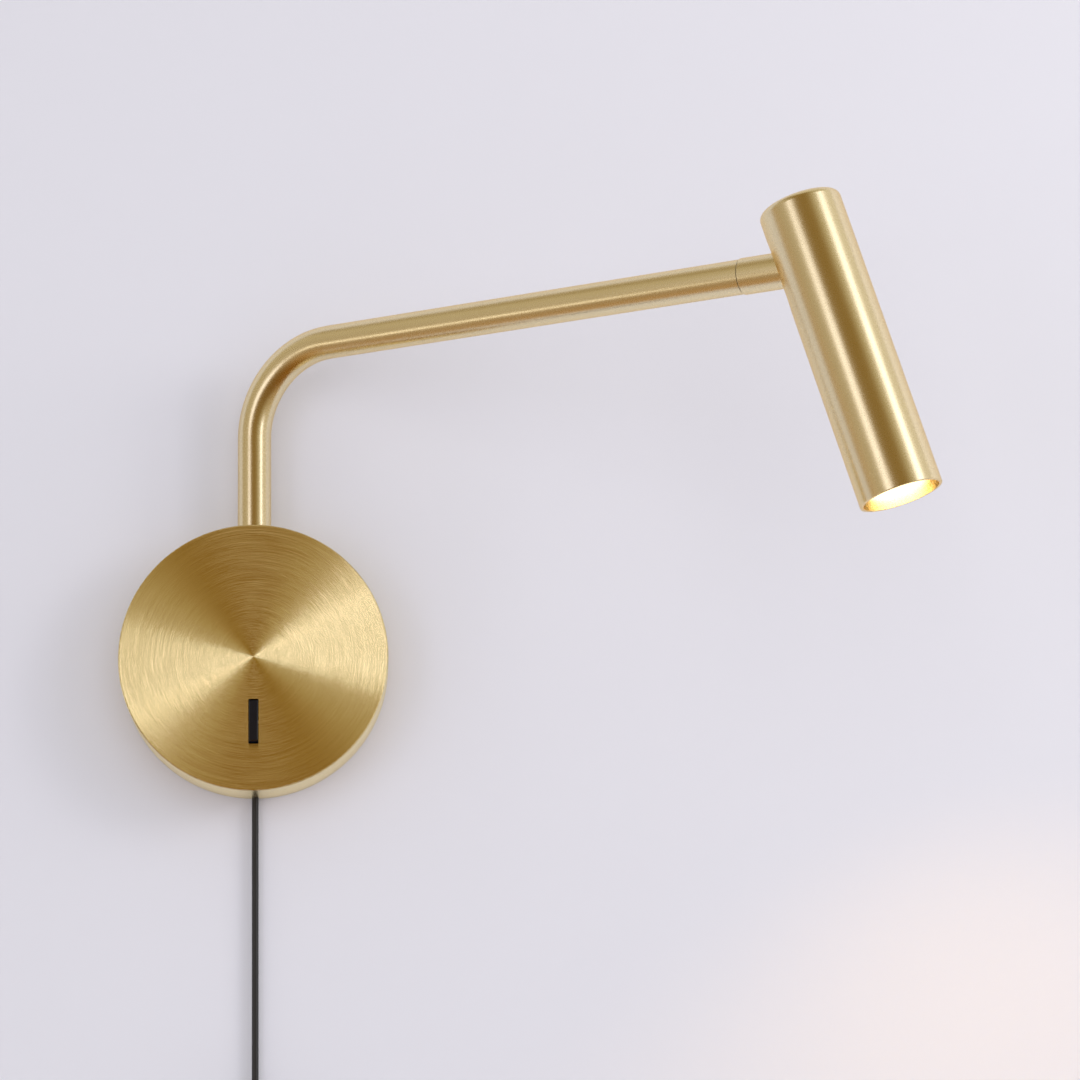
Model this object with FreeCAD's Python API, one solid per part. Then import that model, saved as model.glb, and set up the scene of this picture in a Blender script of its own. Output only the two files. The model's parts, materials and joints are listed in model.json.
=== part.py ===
import FreeCAD, Part
import math
import os
from FreeCAD import Placement, Rotation, Vector

# Bedside wall reading lamp. Millimetres, +Z up, the wall is the plane Y = 0 and the lamp stands out
# towards -Y. The origin is the centre of the drum's wall face.

# ---- drum on the wall ----
drum_dia = 128.0
drum_depth = 30.0
drum_wall = 1.5             # side wall of the drum
face_thick = 1.5            # front face of the drum
face_edge = 0.7             # rounding round the front face
plate_gap = 2.5             # between the wall plate's rim and the drum's inside
plate_thick = 1.5
slot_spacing = 88.0         # wall screw slots, centre to centre
slot_width = 4.5
slot_length = 9.0
plate_hole = 28.0           # opening in the middle of the wall plate
plate_notch = 20.0          # width of the way that the cord takes past the plate
plate_notch_depth = 16.0
tab_depth = 13.0            # how far the side tabs stand off the wall
tab_width = 12.0
tab_thick = 2.0
grub_dia = 3.0
grub_from_wall = 8.0
grub_below_centre = 5.0
grub_sunk = 0.3             # side screws below the drum's surface
cord_notch_gap = 0.2        # round the cord in the drum's rear edge

# ---- arm ----
tube_dia = 16.0
tube_wall = 1.5
riser_from_wall = 15.0      # swing axis to the wall
arm_height = 152.0          # arm axis above the drum's centre
bend_radius = 42.5
arm_length = 262.0          # swing axis to the seam
seam_gap = 0.4
sleeve_shown = 19.0         # seam to the head's side
lead_dia = 3.2              # two-core lead inside the tubes

# ---- swivel at the foot of the riser ----
spindle_dia = 10.0
bushing_dia = 12.6
bushing_flange = 1.0
bushing_nut_flats = 17.0
bushing_nut_height = 4.0
bushing_nut_gap = 1.0       # between the flat nut and the top of the curved drum
skirt_height = 3.0          # half collar that the stop pin meets
swivel_nut_flats = 14.0
swivel_nut_height = 3.4
swivel_washer_dia = 15.0
washer_thick = 0.8
spindle_bore = 4.2
spindle_past_nut = 1.0
insert_length = 12.0        # brass inserts in the two ends of the tube
insert_sunk = 0.2           # lower insert inside the riser's foot
stop_pin_dia = 2.0
stop_pin_root = 1.4         # how deep it sits in the spindle
lead_past = 1.0             # lead below the spindle's foot
swing_rest = 31.0           # arm out of the wall plane at rest, degrees
swing_stop = 3.0            # arm out of the wall plane where it stops, either side
stop_slack = 1.0            # degrees left between a stop pin and its stop at the end of a range

# ---- roll joint at the seam ----
roll_spindle_dia = 8.0
roll_bore = 4.0
roll_spindle_past = 10.0    # spindle's end beyond the tube's end
sleeve_dia = 16.8
sleeve_wall = 2.0
sleeve_in_head = 6.0        # how far the sleeve's end reaches into the head
sleeve_face = 4.0           # thickness of the sleeve's face at the seam
roll_nut_flats = 10.4
roll_nut_height = 3.4
roll_pin_dia = 1.4
roll_pin_root = 4.0
roll_pin_from_axis = 5.4
groove_depth = 1.5
seam_round = 0.2
sleeve_screw_dia = 2.5
sleeve_screw_depth = 1.9    # how deep it enters the knuckle
sleeve_screw_sunk = 0.2
roll_rest = 5.0
roll_range = 165.0          # each way from hanging straight

# ---- tilt joint in the head ----
knuckle_thick = 8.0
knuckle_round = 12.6        # diameter of the knuckle's end
knuckle_step = 0.2          # from the round end down to the flats of the tongue
knuckle_room = 2.2          # between the knuckle's end and the yoke
lead_room = 0.5             # in the knuckle's bore, over the lead's diameter
lead_bend = 11.5            # tilt axis to where the lead turns down
lead_exit = (6.5, 8.5)      # lead's end before and below the tilt axis
lead_way_past = 2.0         # knuckle's bore beyond the lead's end
tilt_pin_dia = 4.0
tilt_head_dia = 7.2
tilt_head_height = 2.4
tilt_head_recess = 5.9      # seat of the screw's head below the yoke's side
tilt_nut_flats = 7.0
tilt_nut_height = 2.8
tilt_nut_recess = 6.9
tilt_washer_thick = 0.9
tilt_washer_dia = 11.0
tilt_rest = 16.0            # head's axis off square to the arm
tilt_range = 30.0           # each way from square
yoke_above = 13.0
yoke_below = 21.0
yoke_foot_start = 2.0       # the yoke's foot lies behind the tilt axis by this much
yoke_screw_dia = 2.5
yoke_screw_grip = 8.0
yoke_screw_head_dia = 4.4
yoke_screw_head = 2.0
yoke_screw_x = 10.0
yoke_screw_y = 8.0
relief_gap = 0.5            # from the sleeve's end to the yoke that turns before it

# ---- head ----
head_dia = 38.0
head_wall = 1.5
head_above = 30.2           # arm axis to the head's top
head_below = 112.4          # arm axis to the mouth
head_top = 2.0
head_round = 3.0
mouth_round = 0.3
head_slot_gap = 0.4         # round the sleeve in the head's slot
sink_bottom = 73.0          # heat sink's lower face below the arm axis
sink_flange = 4.0
sink_core = 16.0
fin_pitch = 4.4
fin_thick = 1.6
sink_lead_room = 0.6        # in the heat sink's bore, over the lead's diameter
head_lead_top = 15.0        # lead's upper end below the arm axis
board_margin = 3.4          # board's edge inside the head's bore
board_thick = 1.6
board_screw_inset = 3.0
board_screw_dia = 1.6
board_screw_head_dia = 3.2
board_screw_head = 1.0
board_hole = 2.2
fin_end = 0.6               # screws end this far inside the heat sink's flange
chip_dia = 10.0
chip_thick = 1.0
chip_to_lens = 0.6
lens_margin = 1.9           # lens edge inside the head's bore
lens_rim = 2.0
lens_step = 2.2             # from the rim in to the cone
lens_height = 24.4
lens_foot = 13.0
lens_well = 8.0             # hollow over the chip
lens_well_top = 6.0
lens_well_wall = 0.8
lens_play = 0.2             # round the lens in its holder
holder_ledge = 1.3
ring_thick = 2.5
ring_width = 2.6

# ---- rocker switch ----
rocker_width = 4.2
rocker_radius = 10.4        # pivot to the paddle's ends
rocker_above_rim = 33.0     # switch centre above the drum's lowest point
rocker_pivot_depth = 3.0    # pivot behind the drum's front
rocker_gap = 0.3
rocker_swing = 6.0          # each way from level, degrees
rocker_proud = 0.5          # middle of the level paddle in front of the face
rocker_dish = 0.75          # how much further its ends stand out
rocker_back = 4.0           # paddle behind its pivot
rocker_round = 0.45
rocker_slot_round = 0.5
rocker_pin_dia = 1.6
rocker_pin_inset = 1.0
pocket_gap = 0.4            # above and below the paddle in its housing
pocket_depth = 7.0          # behind the pivot
housing_width = 11.0
housing_height = 24.4
housing_depth = 14.4
ear_span = 24.0
ear_height = 7.0
ear_thick = 2.0
boss_height = 3.5
boss_dia = 5.2
boss_bore = 2.1
ear_hole = 2.3
ear_screw_dia = 2.0
ear_screw_length = 4.8
ear_screw_head_dia = 3.8
ear_screw_head = 1.6
terminal_width = 3.2
terminal_thick = 0.8
terminal_length = 5.0
terminal_spacing = 10.0

# ---- electrical parts in the drum ----
driver_width = 52.0
driver_height = 22.0
driver_depth = 16.5
driver_wall = 1.2
driver_floor = 5.3          # from the case's front wall to the board
driver_ledge = 3.5          # that the board rests on, left and right
driver_ledge_low = 3.0      # above and below
driver_wire_inset = 8.0     # wire holes in from the case's sides
driver_wire_from_back = 2.4
wire_hole_room = 0.6
capacitors = [(-14.0, 8.0, 6.5), (20.0, 5.0, 5.5)]              # place, diameter, height
chips = [(0.5, 9.0, 10.0, 6.0), (13.0, 6.0, 6.0, 1.6)]          # place, width, length, height
driver_above = 2.0          # driver's lower side above the drum's centre
pcb_thick = 1.6
block_width = 16.0
block_height = 10.2
block_depth = 10.4
block_above_rim = 5.3       # block's lower face above the drum's inner wall
block_bore = 3.2
block_recess = 2.2
block_recess_dia = 5.8
block_screw_dia = 2.9
block_screw_past = 5.0      # how deep it enters the post
block_screw_head_dia = 5.2
block_screw_head = 1.8
clamp_spacing = 10.8
clamp_dia = 2.8
clamp_sunk = 2.0
clamp_height = 1.4
clamp_slot = 0.6
clamp_slot_depth = 0.8
post_dia = 6.0
post_bore = 3.0
wire_dia = 1.8
wire_grip = 3.0             # how far a wire enters a clamp
wire_in_block = 5.0         # wires behind the block's front
wire_turn = 5.0             # room for a bend in a wire
grommet_width = 9.0
grommet_depth = 6.3
grommet_gap = 0.2           # to the wall and to the block
grommet_foot = 0.4          # above the drum's inside

# ---- cord, its tie and its plug ----
cord_dia = 3.2
cord_hang = 144.0           # straight stretch under the drum
coil_inner = 12.0           # radius of the innermost turns
coil_turns = 3              # turns of one layer
coil_layers = 4
coil_pitch = 4.3            # turn to turn and layer to layer
lead_in_radius = 12.0       # bend where the cord joins its coil
coil_tail = 6.0             # straight end that goes into the plug
tie_width = 7.0
tie_thick = 0.8
tie_gap = 0.4
tie_from_wall = 0.1
tie_round = 0.8             # inside its corners
boot_length = 20.0
boot_top_dia = 5.4
boot_foot_dia = 8.4
plug_width = 26.0
plug_depth = 20.0
plug_height = 38.0
plug_round = 3.0
blade_spacing = 12.7
blade_width = 6.35
blade_thick = 1.5
blade_length = 17.5
blade_hole = 3.1
blade_hole_from_tip = 4.2

# ---- fits ----
fit = 0.05                  # radial clearance of shafts and threads
slip = 0.1                  # clearance of pieces that push together
run_gap = 0.3               # between faces that move past each other

# ---- making ----
socket_share = 0.42         # hexagon socket across flats, of the screw head's diameter
socket_depth = 0.6          # of the screw head's height
grub_socket = 0.5           # the same for a headless screw, of its diameter
bend_share = 0.45           # of the shorter run that an arc in a path takes up
over = 1.0                  # how far a cutting shape reaches past what it cuts

X = Vector(1, 0, 0)
Y = Vector(0, 1, 0)
Z = Vector(0, 0, 1)
drum_r = drum_dia / 2
inner_r = drum_r - drum_wall
inside_y = -(drum_depth - face_thick)       # inner side of the drum's face
tube_r = tube_dia / 2
tube_in = tube_r - tube_wall
rocker_below = drum_r - rocker_above_rim
head_offset = head_dia / 2 + sleeve_shown   # seam to the head's axis
sleeve_end = head_dia / 2 - sleeve_in_head  # sleeve's end to the head's axis
relief_radius = sleeve_end - relief_gap
cord_from_wall = cord_dia / 2 + tie_gap + tie_thick + tie_from_wall     # room for the tie behind the coil
nodes = {}


# ---- helpers ----
def rod(dia, start, axis, length):
    return Part.makeCylinder(dia / 2, length, Vector(*start), axis)


def ring(outer, inner, start, axis, length):
    return rod(outer, start, axis, length).cut(rod(inner, start, axis, length))


def block(x0, x1, y0, y1, z0, z1):
    return Part.makeBox(x1 - x0, y1 - y0, z1 - z0, Vector(x0, y0, z0))


def turned(shape, axis, degrees, centre=(0, 0, 0)):
    copy = shape.copy()
    copy.rotate(Vector(*centre), axis, degrees)
    return copy


def moved(shape, x=0.0, y=0.0, z=0.0):
    copy = shape.copy()
    copy.translate(Vector(x, y, z))
    return copy


def hex_bar(flats, start, axis, length):
    """Hexagonal bar along axis from start."""
    corner = flats / math.sqrt(3)
    points = [Vector(corner * math.cos(math.radians(60 * i)), corner * math.sin(math.radians(60 * i)), 0)
              for i in range(7)]
    bar = Part.Face(Part.makePolygon(points)).extrude(Vector(0, 0, length))
    bar.Placement = Placement(Vector(*start), Rotation(Z, axis))
    return bar


def nut(flats, bore, start, axis, height):
    return hex_bar(flats, start, axis, height).cut(rod(bore, start, axis, height))


def screw(start, axis, shank_dia, shank, head_dia, head):
    """Socket screw: its shank runs from start along axis, its head lies behind start."""
    back = Vector(*start) - axis * head
    body = rod(head_dia, back, axis, head).fuse(rod(shank_dia, start, axis, shank))
    return body.cut(hex_bar(head_dia * socket_share, back, axis, head * socket_depth))


def rounded_slot(length, width, thick):
    """Plate along Z with half-round ends, its long side on Y, centred on the origin."""
    reach = (length - width) / 2
    plate = block(-width / 2, width / 2, -reach, reach, 0, thick)
    for side in (-1, 1):
        plate = plate.fuse(rod(width, (0, side * reach, 0), Z, thick))
    return plate.removeSplitter()


def fillet_where(shape, radius, wanted):
    edges = [edge for edge in shape.Edges if wanted(edge)]
    return shape.makeFillet(radius, edges)


def level_circle(axis, value):
    """Picks whole circular edges whose centre lies at value along axis."""
    def wanted(edge):
        return isinstance(edge.Curve, Part.Circle) and abs(edge.Curve.Center.dot(axis) - value) < 1e-4
    return wanted


def runs_along(axis):
    """Picks edges that run parallel to axis where they start."""
    def wanted(edge):
        return abs(edge.tangentAt(edge.FirstParameter).dot(axis)) > 0.99
    return wanted


def rounded_path(points):
    """Straight runs joined by tangent arcs, each arc as large as its two runs allow."""
    points = [Vector(*point) for point in points]
    edges = []
    radii = []
    start = points[0]
    for before, corner, after in zip(points, points[1:], points[2:]):
        run_in = (corner - before).normalize()
        run_out = (after - corner).normalize()
        half_turn = math.acos(max(-1.0, min(1.0, run_in.dot(run_out)))) / 2
        cut = bend_share * min((corner - before).Length, (after - corner).Length)
        radius = cut / math.tan(half_turn)
        enter = corner - run_in * cut
        leave = corner + run_out * cut
        inward = (run_out - run_in).normalize()
        middle = corner + inward * (radius / math.cos(half_turn) - radius)
        edges.append(Part.LineSegment(start, enter).toShape())
        edges.append(Part.Arc(enter, middle, leave).toShape())
        radii.append(round(radius, 1))
        start = leave
    edges.append(Part.LineSegment(start, points[-1]).toShape())
    return Part.Wire(edges), radii


def sweep(path, dia):
    """Round solid of one diameter along a wire."""
    first = path.OrderedEdges[0]
    at = first.firstVertex(True).Point
    along = first.tangentAt(first.FirstParameter if first.Orientation == "Forward" else first.LastParameter)
    circle = Part.Wire(Part.Circle(at, along, dia / 2).toShape())
    return path.makePipeShell([circle], True, False)


def wire_tube(points, dia):
    path, radii = rounded_path(points)
    return sweep(path, dia)


# ---- frames of the moving bodies, at rest ----
arm_frame = Placement(Vector(0, -riser_from_wall, 0), Rotation(Z, -swing_rest))
sleeve_frame = arm_frame.multiply(
    Placement(Vector(arm_length + head_offset, 0, arm_height), Rotation(X, roll_rest)))
head_frame = sleeve_frame.multiply(Placement(Vector(), Rotation(Y, -tilt_rest)))


def add(name, shape, frame=None):
    """Keeps a shape as a node, put where its body stands at rest."""
    placed = shape.copy()
    if frame is not None:
        placed.transformShape(frame.toMatrix(), True)
    nodes[name] = placed


def group(shapes):
    return Part.makeCompound(shapes)


# ---- wall plate and drum ----
plate_r = inner_r - plate_gap
tab_x = plate_r - tab_thick
grub_x = math.sqrt(drum_r ** 2 - grub_below_centre ** 2)


def wall_plate():
    plate = rod(2 * plate_r, (0, -plate_thick, 0), Y, plate_thick)
    plate = plate.cut(rod(plate_hole, (0, -plate_thick, 0), Y, plate_thick))
    slot = rounded_slot(slot_length, slot_width, plate_thick)
    slot = turned(turned(slot, Z, 90), X, 90)
    for side in (-1, 1):
        plate = plate.cut(moved(slot, x=side * slot_spacing / 2))
    notch_top = -plate_r + plate_notch_depth
    plate = plate.cut(block(-plate_notch / 2, plate_notch / 2, -plate_thick, 0, -plate_r, notch_top))
    rim = rod(2 * plate_r, (0, -tab_depth, 0), Y, tab_depth)
    z = -grub_below_centre
    for side in (-1, 1):
        near = side * tab_x - tab_thick / 2
        tab = block(near, near + tab_thick, -tab_depth, 0, z - tab_width / 2, z + tab_width / 2)
        plate = plate.fuse(tab.common(rim))
        plate = plate.cut(rod(grub_dia + 2 * fit, (near - over, -grub_from_wall, z), X,
                              tab_thick + 2 * over))
    return plate.removeSplitter()


def side_screws():
    length = grub_x - tab_x + 2 * tab_thick
    screws = []
    for side in (-1, 1):
        start = (side * (grub_x - grub_sunk), -grub_from_wall, -grub_below_centre)
        body = rod(grub_dia, start, X * -side, length)
        screws.append(body.cut(hex_bar(grub_dia * grub_socket, start, X * -side, grub_dia / 2)))
    return group(screws)


boss_x = (housing_width + ear_span) / 4
post_z = -(inner_r - block_above_rim - block_height / 2)
post_length = drum_depth - face_thick - block_depth - cord_from_wall + cord_dia / 2 + slip


def drum_shell():
    shell = rod(drum_dia, (0, 0, 0), -Y, drum_depth)
    shell = fillet_where(shell, face_edge, level_circle(Y, -drum_depth))
    shell = shell.cut(rod(2 * inner_r, (0, 0, 0), -Y, drum_depth - face_thick))
    slot = block(-rocker_width / 2 - rocker_gap, rocker_width / 2 + rocker_gap, -drum_depth - over,
                 inside_y + over, -rocker_radius - rocker_gap, rocker_radius + rocker_gap)
    slot = fillet_where(slot, rocker_slot_round, runs_along(Y))
    shell = shell.cut(moved(slot, z=-rocker_below))
    near = inner_r - drum_wall - over
    through = 3 * drum_wall + 2 * over
    shell = shell.cut(rod(bushing_dia + 2 * slip, (0, -riser_from_wall, near), Z, through))
    for side in (-1, 1):
        start = (side * near, -grub_from_wall, -grub_below_centre)
        shell = shell.cut(rod(grub_dia + 2 * slip, start, X * side, through))
    notch_r = cord_dia / 2 + cord_notch_gap
    low, high = -drum_r - over, -drum_r + 2 * drum_wall + over
    way = rod(2 * notch_r, (0, -cord_from_wall, low), Z, high - low)
    way = way.fuse(block(-notch_r, notch_r, -cord_from_wall, over, low, high))
    shell = shell.cut(way)
    for side in (-1, 1):
        boss = ring(boss_dia, boss_bore, (side * boss_x, inside_y, -rocker_below), Y, boss_height)
        shell = shell.fuse(boss)
    post = ring(post_dia, post_bore, (0, inside_y, post_z), Y, post_length)
    return shell.fuse(post).removeSplitter()


# ---- swivel that carries the riser ----
flange_z = drum_r + fit                     # underside of the bushing's flange
bushing_foot = inner_r - bushing_nut_gap - bushing_nut_height
skirt_foot = bushing_foot - skirt_height
washer_z = skirt_foot - fit - washer_thick
swivel_nut_z = washer_z - fit - swivel_nut_height
spindle_foot = swivel_nut_z - spindle_past_nut
lead_foot = spindle_foot - lead_past
riser_foot = flange_z + bushing_flange + run_gap
swivel_at = (0, -riser_from_wall)


def swivel_bushing():
    body = rod(tube_dia, (*swivel_at, flange_z), Z, bushing_flange)
    body = body.fuse(rod(bushing_dia, (*swivel_at, bushing_foot), Z, flange_z - bushing_foot))
    pin_reach = math.degrees(math.asin(stop_pin_dia / spindle_dia)) - swing_stop + stop_slack
    half_collar = Part.makeCylinder(bushing_dia / 2, skirt_height, Vector(*swivel_at, skirt_foot), Z,
                                    180 - 2 * pin_reach)
    body = body.fuse(turned(half_collar, Z, pin_reach, (*swivel_at, 0)))
    return body.cut(rod(spindle_dia + 2 * fit, (*swivel_at, skirt_foot), Z, drum_r)).removeSplitter()


def add_swivel():
    add("swivel_bushing", swivel_bushing())
    nut_z = bushing_foot + fit
    add("bushing_nut", nut(bushing_nut_flats, bushing_dia + 2 * fit, (*swivel_at, nut_z), Z,
                           bushing_nut_height - fit))
    top = riser_foot + insert_length
    add("swivel_spindle", ring(spindle_dia, spindle_bore, (0, 0, spindle_foot), Z, top - spindle_foot)
        .cut(rod(stop_pin_dia + 2 * fit, (0, 0, skirt_foot + skirt_height / 2), X, spindle_dia)), arm_frame)
    add("riser_insert", ring(2 * (tube_in - fit), spindle_dia + 2 * fit, (0, 0, riser_foot + insert_sunk), Z,
                             insert_length - insert_sunk), arm_frame)
    add("swivel_washer", ring(swivel_washer_dia, spindle_dia + 2 * fit, (0, 0, washer_z), Z, washer_thick),
        arm_frame)
    add("swivel_nut", nut(swivel_nut_flats, spindle_dia + 2 * fit, (0, 0, swivel_nut_z), Z,
                          swivel_nut_height), arm_frame)
    pin_z = skirt_foot + skirt_height / 2
    add("swivel_stop_pin", rod(stop_pin_dia, (spindle_dia / 2 - stop_pin_root, 0, pin_z), X,
                               stop_pin_root + (bushing_dia - spindle_dia) / 2 - 2 * slip), arm_frame)


# ---- arm tube and what runs through it ----
def arm_path(start_z, end_x):
    """The tube's centre line: up the riser, round the bend and along the arm."""
    bend_z = arm_height - bend_radius
    corner = bend_radius * (1 - math.sqrt(0.5))
    middle = Vector(corner, 0, arm_height - corner)
    return Part.Wire([
        Part.LineSegment(Vector(0, 0, start_z), Vector(0, 0, bend_z)).toShape(),
        Part.Arc(Vector(0, 0, bend_z), middle, Vector(bend_radius, 0, arm_height)).toShape(),
        Part.LineSegment(Vector(bend_radius, 0, arm_height), Vector(end_x, 0, arm_height)).toShape()])


spindle_end = -head_offset + roll_spindle_past           # roll spindle's end, from the head's axis
seam = -head_offset + seam_gap              # sleeve's face, from the head's axis


def add_arm():
    path = arm_path(riser_foot, arm_length)
    add("arm_tube", sweep(path, tube_dia).cut(sweep(path, 2 * tube_in)), arm_frame)
    start = arm_length - insert_length
    insert = ring(2 * (tube_in - fit), roll_spindle_dia + 2 * fit, (start, 0, arm_height), X, insert_length)
    pin_at = (arm_length - roll_pin_root, 0, arm_height + roll_pin_from_axis)
    add("arm_end_insert", insert.cut(rod(roll_pin_dia + 2 * fit, pin_at, X, roll_pin_root + over)),
        arm_frame)
    add("roll_stop_pin", rod(roll_pin_dia, pin_at, X, roll_pin_root + seam_gap + groove_depth - run_gap),
        arm_frame)
    at_seam = Placement(Vector(arm_length + head_offset, 0, arm_height), Rotation())
    roll_frame = arm_frame.multiply(at_seam)
    start = -head_offset - insert_length
    add("roll_spindle", ring(roll_spindle_dia, roll_bore, (start, 0, 0), X, spindle_end - start), roll_frame)
    washer_x = seam + sleeve_face + fit
    add("roll_washer", ring(2 * (sleeve_in - 2 * slip), roll_spindle_dia + 2 * fit, (washer_x, 0, 0), X,
                            washer_thick), roll_frame)
    add("roll_nut", nut(roll_nut_flats, roll_spindle_dia + 2 * fit, (washer_x + washer_thick + fit, 0, 0), X,
                        roll_nut_height), roll_frame)
    lead = sweep(arm_path(lead_foot, arm_length + head_offset + spindle_end), lead_dia)
    add("arm_lead", lead, arm_frame)


# ---- sleeve and knuckle ----
sleeve_in = sleeve_dia / 2 - sleeve_wall
shank_start = spindle_end + run_gap
lead_turn = Vector(-lead_bend, 0, 0)
lead_end = Vector(-lead_exit[0], 0, -lead_exit[1])


def joint_sleeve():
    body = rod(sleeve_dia, (seam, 0, 0), X, -sleeve_end - seam)
    body = fillet_where(body, seam_round, level_circle(X, seam))
    body = body.cut(rod(2 * sleeve_in, (seam + sleeve_face, 0, 0), X, head_offset))
    body = body.cut(rod(roll_spindle_dia + 2 * fit, (seam, 0, 0), X, sleeve_face))
    pin_half = math.degrees(math.asin(roll_pin_dia / 2 / roll_pin_from_axis))
    lug = 360 - 2 * roll_range - 2 * pin_half - 2 * stop_slack
    outer = roll_pin_from_axis + roll_pin_dia / 2 + 2 * slip
    # The groove starts straight below the axis, so half a lug of turn centres its gap there.
    groove = Part.makeCylinder(outer, groove_depth, Vector(), Z, 360 - lug)
    inner = roll_pin_from_axis - roll_pin_dia / 2 - slip
    groove = turned(groove.cut(rod(2 * inner, (0, 0, 0), Z, groove_depth)), Z, lug / 2)
    groove.Placement = Placement(Vector(seam, 0, 0), Rotation(Y, 90)).multiply(groove.Placement)
    return body.cut(groove)


def knuckle():
    shank = rod(2 * (sleeve_in - fit), (shank_start, 0, 0), X, -sleeve_end - shank_start)
    half = knuckle_thick / 2
    tall = knuckle_round / 2 - knuckle_step
    tongue = block(-sleeve_end, 0, -half, half, -tall, tall)
    body = shank.fuse(tongue).fuse(rod(knuckle_round, (0, -half, 0), Y, knuckle_thick))
    body = body.cut(rod(tilt_pin_dia + 2 * fit, (0, -half, 0), Y, knuckle_thick))
    past = lead_end + (lead_end - lead_turn).normalize() * lead_way_past
    return body.cut(wire_tube([(shank_start - over, 0, 0), lead_turn, past], lead_dia + lead_room)) \
        .removeSplitter()


def add_joint():
    screw_x = (shank_start - sleeve_end) / 2
    root = sleeve_in - sleeve_screw_depth
    hole = rod(sleeve_screw_dia + 2 * fit, (screw_x, root - slip, 0), Y, sleeve_dia / 2 + over - root)
    add("joint_sleeve", joint_sleeve().cut(hole), sleeve_frame)
    add("knuckle", knuckle().cut(hole), sleeve_frame)
    top = sleeve_dia / 2 - sleeve_screw_sunk
    grub = rod(sleeve_screw_dia, (screw_x, root, 0), Y, top - root)
    socket = hex_bar(sleeve_screw_dia * grub_socket, (screw_x, top, 0), -Y, sleeve_screw_dia / 2)
    add("sleeve_screw", grub.cut(socket), sleeve_frame)
    add("knuckle_lead", wire_tube([(shank_start, 0, 0), lead_turn, lead_end], lead_dia), sleeve_frame)


# ---- head ----
head_r = head_dia / 2
head_in = head_r - head_wall
slot_width_head = sleeve_dia + 2 * head_slot_gap
slot_reach = (head_r * math.tan(math.radians(tilt_range))
              + sleeve_dia / 2 / math.cos(math.radians(tilt_range)) + head_slot_gap)
plug_r = head_in - slip                     # pieces that push up the head's bore
board_face = -(sink_bottom + board_thick)
lens_face = board_face - chip_thick - chip_to_lens - lens_height
lens_dia = 2 * (plug_r - lens_margin)
board_dia = 2 * (plug_r - board_margin)
board_screw_x = board_dia / 2 - board_screw_inset
cheek = knuckle_thick / 2 + tilt_washer_thick + 2 * fit
tilt_head_seat = plug_r - tilt_head_recess
tilt_nut_seat = plug_r - tilt_nut_recess


def head_shell():
    shell = rod(head_dia, (0, 0, -head_below), Z, head_below + head_above)
    shell = fillet_where(shell, head_round, level_circle(Z, head_above))
    shell = fillet_where(shell, mouth_round, level_circle(Z, -head_below))
    bore = rod(2 * head_in, (0, 0, -head_below), Z, head_below + head_above - head_top)
    bore = fillet_where(bore, head_round - head_wall, level_circle(Z, head_above - head_top))
    slot = rounded_slot(2 * slot_reach, slot_width_head, head_r)
    slot = turned(turned(slot, Z, 90), Y, 90)
    slot = moved(slot, x=-head_r - 2 * over)
    return shell.cut(bore).cut(slot)


def yoke():
    body = rod(2 * plug_r, (0, 0, -yoke_below), Z, yoke_below + yoke_above)
    far = knuckle_round / 2 + knuckle_room
    low, high = -yoke_below - over, yoke_above + over
    body = body.cut(block(-head_r, far, -cheek, cheek, low, high))
    relief = sleeve_dia / 2 + 2 * head_slot_gap
    near = block(-head_r, 0, -relief, relief, low, high)
    near = near.cut(rod(2 * relief_radius, (0, -relief, 0), Y, 2 * relief))
    body = body.cut(near).cut(block(-head_r, yoke_foot_start, -head_r, head_r, low, -yoke_above))
    body = body.cut(rod(tilt_pin_dia + 2 * fit, (0, -head_r, 0), Y, head_dia))
    body = body.cut(rod(tilt_head_dia + 4 * slip, (0, tilt_head_seat, 0), Y, head_r))
    nut_corners = tilt_nut_flats * 2 / math.sqrt(3)
    body = body.cut(rod(nut_corners + 4 * slip, (0, -tilt_nut_seat, 0), -Y, head_r))
    for side in (-1, 1):
        body = body.cut(rod(yoke_screw_dia + 2 * fit, (yoke_screw_x, side * yoke_screw_y, -yoke_below), Z,
                            yoke_screw_grip + slip))
    return body


def heat_sink():
    top = -yoke_below
    body = rod(sink_core, (0, 0, -sink_bottom), Z, sink_bottom - yoke_below)
    body = body.fuse(rod(2 * plug_r, (0, 0, top - sink_flange), Z, sink_flange))
    body = body.fuse(rod(2 * plug_r, (0, 0, -sink_bottom), Z, sink_flange))
    first = top - sink_flange - fin_pitch
    room = first - fin_thick - (-sink_bottom + sink_flange)
    for i in range(int(room / fin_pitch) + 1):
        body = body.fuse(rod(2 * plug_r, (0, 0, first - i * fin_pitch), Z, fin_thick))
    body = body.cut(rod(lead_dia + sink_lead_room, (0, 0, -sink_bottom), Z, sink_bottom))
    for side in (-1, 1):
        at = (yoke_screw_x, side * yoke_screw_y, top - sink_flange)
        body = body.cut(rod(yoke_screw_dia + 2 * slip, at, Z, sink_flange))
        body = body.cut(rod(board_screw_dia + 2 * fit, (side * board_screw_x, 0, -sink_bottom), Z,
                            sink_flange))
    return body.removeSplitter()


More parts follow.
